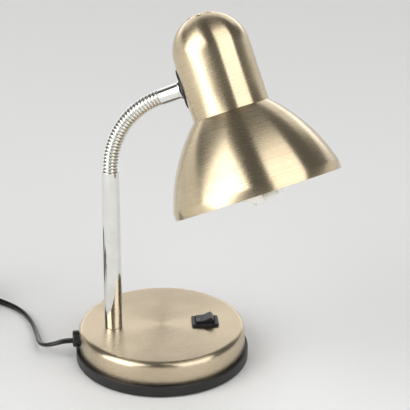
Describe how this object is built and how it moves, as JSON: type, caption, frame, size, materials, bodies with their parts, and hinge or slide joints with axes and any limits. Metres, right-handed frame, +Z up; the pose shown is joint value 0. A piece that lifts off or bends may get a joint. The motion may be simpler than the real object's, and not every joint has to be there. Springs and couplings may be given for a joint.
{
  "type": "desk lamp",
  "caption": "Gooseneck desk lamp with a brushed bell shade and domed cap, chrome stem and neck, round weighted base with rocker switch, and a coiled lead with plug.",
  "frame": {"origin": "middle of the round base on the surface that it stands on", "axes": "+X from the stem to the rocker switch, +Z up, +Y away from the front view"},
  "size_m": [0.3506, 0.2539, 0.291],
  "materials": {
    "brushed_nickel": "satin, spun-brushed champagne nickel",
    "black_plastic": "moulded, satin",
    "switch_plastic": "moulded, semi-gloss",
    "cast_ballast": "as cast",
    "zinc_steel": "zinc plated",
    "pad_rubber": "matte",
    "chrome": "polished",
    "brass": "stamped",
    "cord_vinyl": "glossy flexible vinyl",
    "cap_aluminium": "rolled",
    "bulb_plastic": "moulded, white",
    "opal_glass": "opal, phosphor coated"
  },
  "bodies": {
    "root": {"base_cover": "brushed_nickel", "base_tray": "black_plastic", "ballast_plate": "cast_ballast", "tray_screws": "zinc_steel", "foot_pad": "pad_rubber", "stem_tube": "chrome", "stem_nipple": "zinc_steel", "stem_washer": "zinc_steel", "stem_nut": "zinc_steel", "switch_housing": "switch_plastic", "switch_terminals": "brass", "strain_relief": "black_plastic", "power_cord": "cord_vinyl", "cord_coil": "cord_vinyl", "plug_tail": "cord_vinyl", "power_plug": "cord_vinyl", "plug_pins": "brass", "base_leads": "cord_vinyl", "stem_lead": "cord_vinyl", "neck_link_01": "chrome"},
    "neck_02": {"neck_link_02": "chrome"},
    "neck_03": {"neck_link_03": "chrome"},
    "neck_04": {"neck_link_04": "chrome"},
    "neck_05": {"neck_link_05": "chrome"},
    "neck_06": {"neck_link_06": "chrome"},
    "neck_07": {"neck_link_07": "chrome"},
    "neck_08": {"neck_link_08": "chrome"},
    "neck_09": {"neck_link_09": "chrome"},
    "neck_10": {"neck_link_10": "chrome"},
    "neck_11": {"neck_link_11": "chrome"},
    "neck_12": {"neck_link_12": "chrome"},
    "neck_13": {"neck_link_13": "chrome"},
    "neck_14": {"neck_link_14": "chrome"},
    "neck_15": {"neck_link_15": "chrome"},
    "neck_16": {"neck_link_16": "chrome"},
    "neck_17": {"neck_link_17": "chrome"},
    "neck_18": {"neck_link_18": "chrome"},
    "neck_19": {"neck_link_19": "chrome"},
    "neck_20": {"neck_link_20": "chrome"},
    "neck_21": {"neck_link_21": "chrome"},
    "neck_22": {"neck_link_22": "chrome"},
    "neck_23": {"neck_link_23": "chrome"},
    "neck_24": {"neck_link_24": "chrome"},
    "neck_25": {"neck_link_25": "chrome"},
    "neck_26": {"neck_link_26": "chrome"},
    "neck_27": {"neck_link_27": "chrome"},
    "ferrule": {"neck_link_28": "chrome", "neck_ferrule": "chrome", "swivel_nipple": "zinc_steel", "swivel_nut": "zinc_steel"},
    "shade": {"saddle_gasket": "black_plastic", "shade": "brushed_nickel", "holder_bracket": "zinc_steel", "lampholder_body": "black_plastic", "lampholder_shell": "brass", "lampholder_contact": "brass", "bulb_cap": "cap_aluminium", "bulb_housing": "bulb_plastic", "bulb_tube": "opal_glass"},
    "rocker": {"switch_rocker": "switch_plastic"}
  },
  "joints": [
    {"name": "neck_bend_lower", "type": "hinge", "parent": "root", "child": "neck_02", "pos_m": [-0.03766, -0.00002, 0.16316], "axis": [0.3518, 0.9361, 0], "range_deg": [-4.63, 2.51]},
    {"name": "neck_sway_lower", "type": "hinge", "parent": "neck_02", "child": "neck_03", "pos_m": [-0.0375, -0.00008, 0.16601], "axis": [-0.933, 0.3507, 0.0807], "range_deg": [-2.3, 2.3]},
    {"name": "neck_bend_lower_03", "type": "hinge", "parent": "neck_03", "child": "neck_04", "pos_m": [-0.03723, -0.00018, 0.16886], "axis": [0.3518, 0.9361, 0], "range_deg": [-4.63, 2.51]},
    {"name": "neck_sway_lower_04", "type": "hinge", "parent": "neck_04", "child": "neck_05", "pos_m": [-0.03685, -0.00032, 0.17169], "axis": [-0.9239, 0.3473, 0.1609], "range_deg": [-2.3, 2.3]},
    {"name": "neck_bend_lower_05", "type": "hinge", "parent": "neck_05", "child": "neck_06", "pos_m": [-0.03637, -0.0005, 0.1745], "axis": [0.3518, 0.9361, 0], "range_deg": [-4.63, 2.51]},
    {"name": "neck_sway_lower_06", "type": "hinge", "parent": "neck_06", "child": "neck_07", "pos_m": [-0.03578, -0.00072, 0.17729], "axis": [-0.9087, 0.3416, 0.2401], "range_deg": [-2.3, 2.3]},
    {"name": "neck_bend_lower_07", "type": "hinge", "parent": "neck_07", "child": "neck_08", "pos_m": [-0.03508, -0.00098, 0.18006], "axis": [0.3518, 0.9361, 0], "range_deg": [-4.63, 2.51]},
    {"name": "neck_sway_lower_08", "type": "hinge", "parent": "neck_08", "child": "neck_09", "pos_m": [-0.03428, -0.00128, 0.18279], "axis": [-0.8876, 0.3336, 0.3177], "range_deg": [-2.3, 2.3]},
    {"name": "neck_bend_lower_09", "type": "hinge", "parent": "neck_09", "child": "neck_10", "pos_m": [-0.03338, -0.00162, 0.18548], "axis": [0.3518, 0.9361, 0], "range_deg": [-4.63, 2.51]},
    {"name": "neck_sway_middle_10", "type": "hinge", "parent": "neck_10", "child": "neck_11", "pos_m": [-0.03238, -0.002, 0.18813], "axis": [-0.8607, 0.3235, 0.3932], "range_deg": [-2.3, 2.3]},
    {"name": "neck_bend_middle", "type": "hinge", "parent": "neck_11", "child": "neck_12", "pos_m": [-0.03127, -0.00242, 0.19074], "axis": [0.3518, 0.9361, 0], "range_deg": [-4.63, 2.51]},
    {"name": "neck_sway_middle_12", "type": "hinge", "parent": "neck_12", "child": "neck_13", "pos_m": [-0.03008, -0.00287, 0.19329], "axis": [-0.8281, 0.3113, 0.4661], "range_deg": [-2.3, 2.3]},
    {"name": "neck_bend_middle_13", "type": "hinge", "parent": "neck_13", "child": "neck_14", "pos_m": [-0.02878, -0.00335, 0.1958], "axis": [0.3518, 0.9361, 0], "range_deg": [-4.63, 2.51]},
    {"name": "neck_sway_middle_14", "type": "hinge", "parent": "neck_14", "child": "neck_15", "pos_m": [-0.02739, -0.00388, 0.19824], "axis": [-0.7902, 0.297, 0.536], "range_deg": [-2.3, 2.3]},
    {"name": "neck_bend_middle_15", "type": "hinge", "parent": "neck_15", "child": "neck_16", "pos_m": [-0.02591, -0.00443, 0.20062], "axis": [0.3518, 0.9361, 0], "range_deg": [-4.63, 2.51]},
    {"name": "neck_sway_middle_16", "type": "hinge", "parent": "neck_16", "child": "neck_17", "pos_m": [-0.02434, -0.00502, 0.20294], "axis": [-0.7471, 0.2808, 0.6025], "range_deg": [-2.3, 2.3]},
    {"name": "neck_bend_middle_17", "type": "hinge", "parent": "neck_17", "child": "neck_18", "pos_m": [-0.02269, -0.00564, 0.20519], "axis": [0.3518, 0.9361, 0], "range_deg": [-4.63, 2.51]},
    {"name": "neck_sway_middle", "type": "hinge", "parent": "neck_18", "child": "neck_19", "pos_m": [-0.02095, -0.0063, 0.20736], "axis": [-0.6992, 0.2628, 0.6649], "range_deg": [-2.3, 2.3]},
    {"name": "neck_bend_upper_19", "type": "hinge", "parent": "neck_19", "child": "neck_20", "pos_m": [-0.01913, -0.00698, 0.20946], "axis": [0.3518, 0.9361, 0], "range_deg": [-4.63, 2.51]},
    {"name": "neck_sway_upper_20", "type": "hinge", "parent": "neck_20", "child": "neck_21", "pos_m": [-0.01723, -0.00769, 0.21148], "axis": [-0.6466, 0.243, 0.7231], "range_deg": [-2.3, 2.3]},
    {"name": "neck_bend_upper_21", "type": "hinge", "parent": "neck_21", "child": "neck_22", "pos_m": [-0.01525, -0.00844, 0.21341], "axis": [0.3518, 0.9361, 0], "range_deg": [-4.63, 2.51]},
    {"name": "neck_sway_upper_22", "type": "hinge", "parent": "neck_22", "child": "neck_23", "pos_m": [-0.01321, -0.0092, 0.21526], "axis": [-0.5899, 0.2217, 0.7765], "range_deg": [-2.3, 2.3]},
    {"name": "neck_bend_upper_23", "type": "hinge", "parent": "neck_23", "child": "neck_24", "pos_m": [-0.0111, -0.01, 0.21701], "axis": [0.3518, 0.9361, 0], "range_deg": [-4.63, 2.51]},
    {"name": "neck_sway_upper_24", "type": "hinge", "parent": "neck_24", "child": "neck_25", "pos_m": [-0.00892, -0.01082, 0.21868], "axis": [-0.5293, 0.1989, 0.8248], "range_deg": [-2.3, 2.3]},
    {"name": "neck_bend_upper_25", "type": "hinge", "parent": "neck_25", "child": "neck_26", "pos_m": [-0.00668, -0.01166, 0.22025], "axis": [0.3518, 0.9361, 0], "range_deg": [-4.63, 2.51]},
    {"name": "neck_sway_upper", "type": "hinge", "parent": "neck_26", "child": "neck_27", "pos_m": [-0.00439, -0.01252, 0.22172], "axis": [-0.4652, 0.1749, 0.8678], "range_deg": [-2.3, 2.3]},
    {"name": "neck_bend_upper", "type": "hinge", "parent": "neck_27", "child": "ferrule", "pos_m": [-0.00204, -0.0134, 0.22309], "axis": [0.3518, 0.9361, 0], "range_deg": [-4.63, 2.51]},
    {"name": "shade_swivel", "type": "hinge", "parent": "ferrule", "child": "shade", "pos_m": [0.04251, -0.03015, 0.24552], "axis": [-0.8472, 0.3184, -0.4253], "range_deg": [-105, 75]},
    {"name": "switch_rocker", "type": "hinge", "parent": "root", "child": "rocker", "pos_m": [0.03384, 0, 0.0285], "axis": [0, 1, 0], "range_deg": [0, 30]}
  ],
  "couplings": [
    {"joint": "neck_bend_lower_03", "follows": "neck_bend_lower", "ratio": 1},
    {"joint": "neck_sway_lower_04", "follows": "neck_sway_lower", "ratio": 1},
    {"joint": "neck_bend_lower_05", "follows": "neck_bend_lower", "ratio": 1},
    {"joint": "neck_sway_lower_06", "follows": "neck_sway_lower", "ratio": 1},
    {"joint": "neck_bend_lower_07", "follows": "neck_bend_lower", "ratio": 1},
    {"joint": "neck_sway_lower_08", "follows": "neck_sway_lower", "ratio": 1},
    {"joint": "neck_bend_lower_09", "follows": "neck_bend_lower", "ratio": 1},
    {"joint": "neck_sway_middle_10", "follows": "neck_sway_middle", "ratio": 1},
    {"joint": "neck_sway_middle_12", "follows": "neck_sway_middle", "ratio": 1},
    {"joint": "neck_bend_middle_13", "follows": "neck_bend_middle", "ratio": 1},
    {"joint": "neck_sway_middle_14", "follows": "neck_sway_middle", "ratio": 1},
    {"joint": "neck_bend_middle_15", "follows": "neck_bend_middle", "ratio": 1},
    {"joint": "neck_sway_middle_16", "follows": "neck_sway_middle", "ratio": 1},
    {"joint": "neck_bend_middle_17", "follows": "neck_bend_middle", "ratio": 1},
    {"joint": "neck_bend_upper_19", "follows": "neck_bend_upper", "ratio": 1},
    {"joint": "neck_sway_upper_20", "follows": "neck_sway_upper", "ratio": 1},
    {"joint": "neck_bend_upper_21", "follows": "neck_bend_upper", "ratio": 1},
    {"joint": "neck_sway_upper_22", "follows": "neck_sway_upper", "ratio": 1},
    {"joint": "neck_bend_upper_23", "follows": "neck_bend_upper", "ratio": 1},
    {"joint": "neck_sway_upper_24", "follows": "neck_sway_upper", "ratio": 1},
    {"joint": "neck_bend_upper_25", "follows": "neck_bend_upper", "ratio": 1}
  ]
}
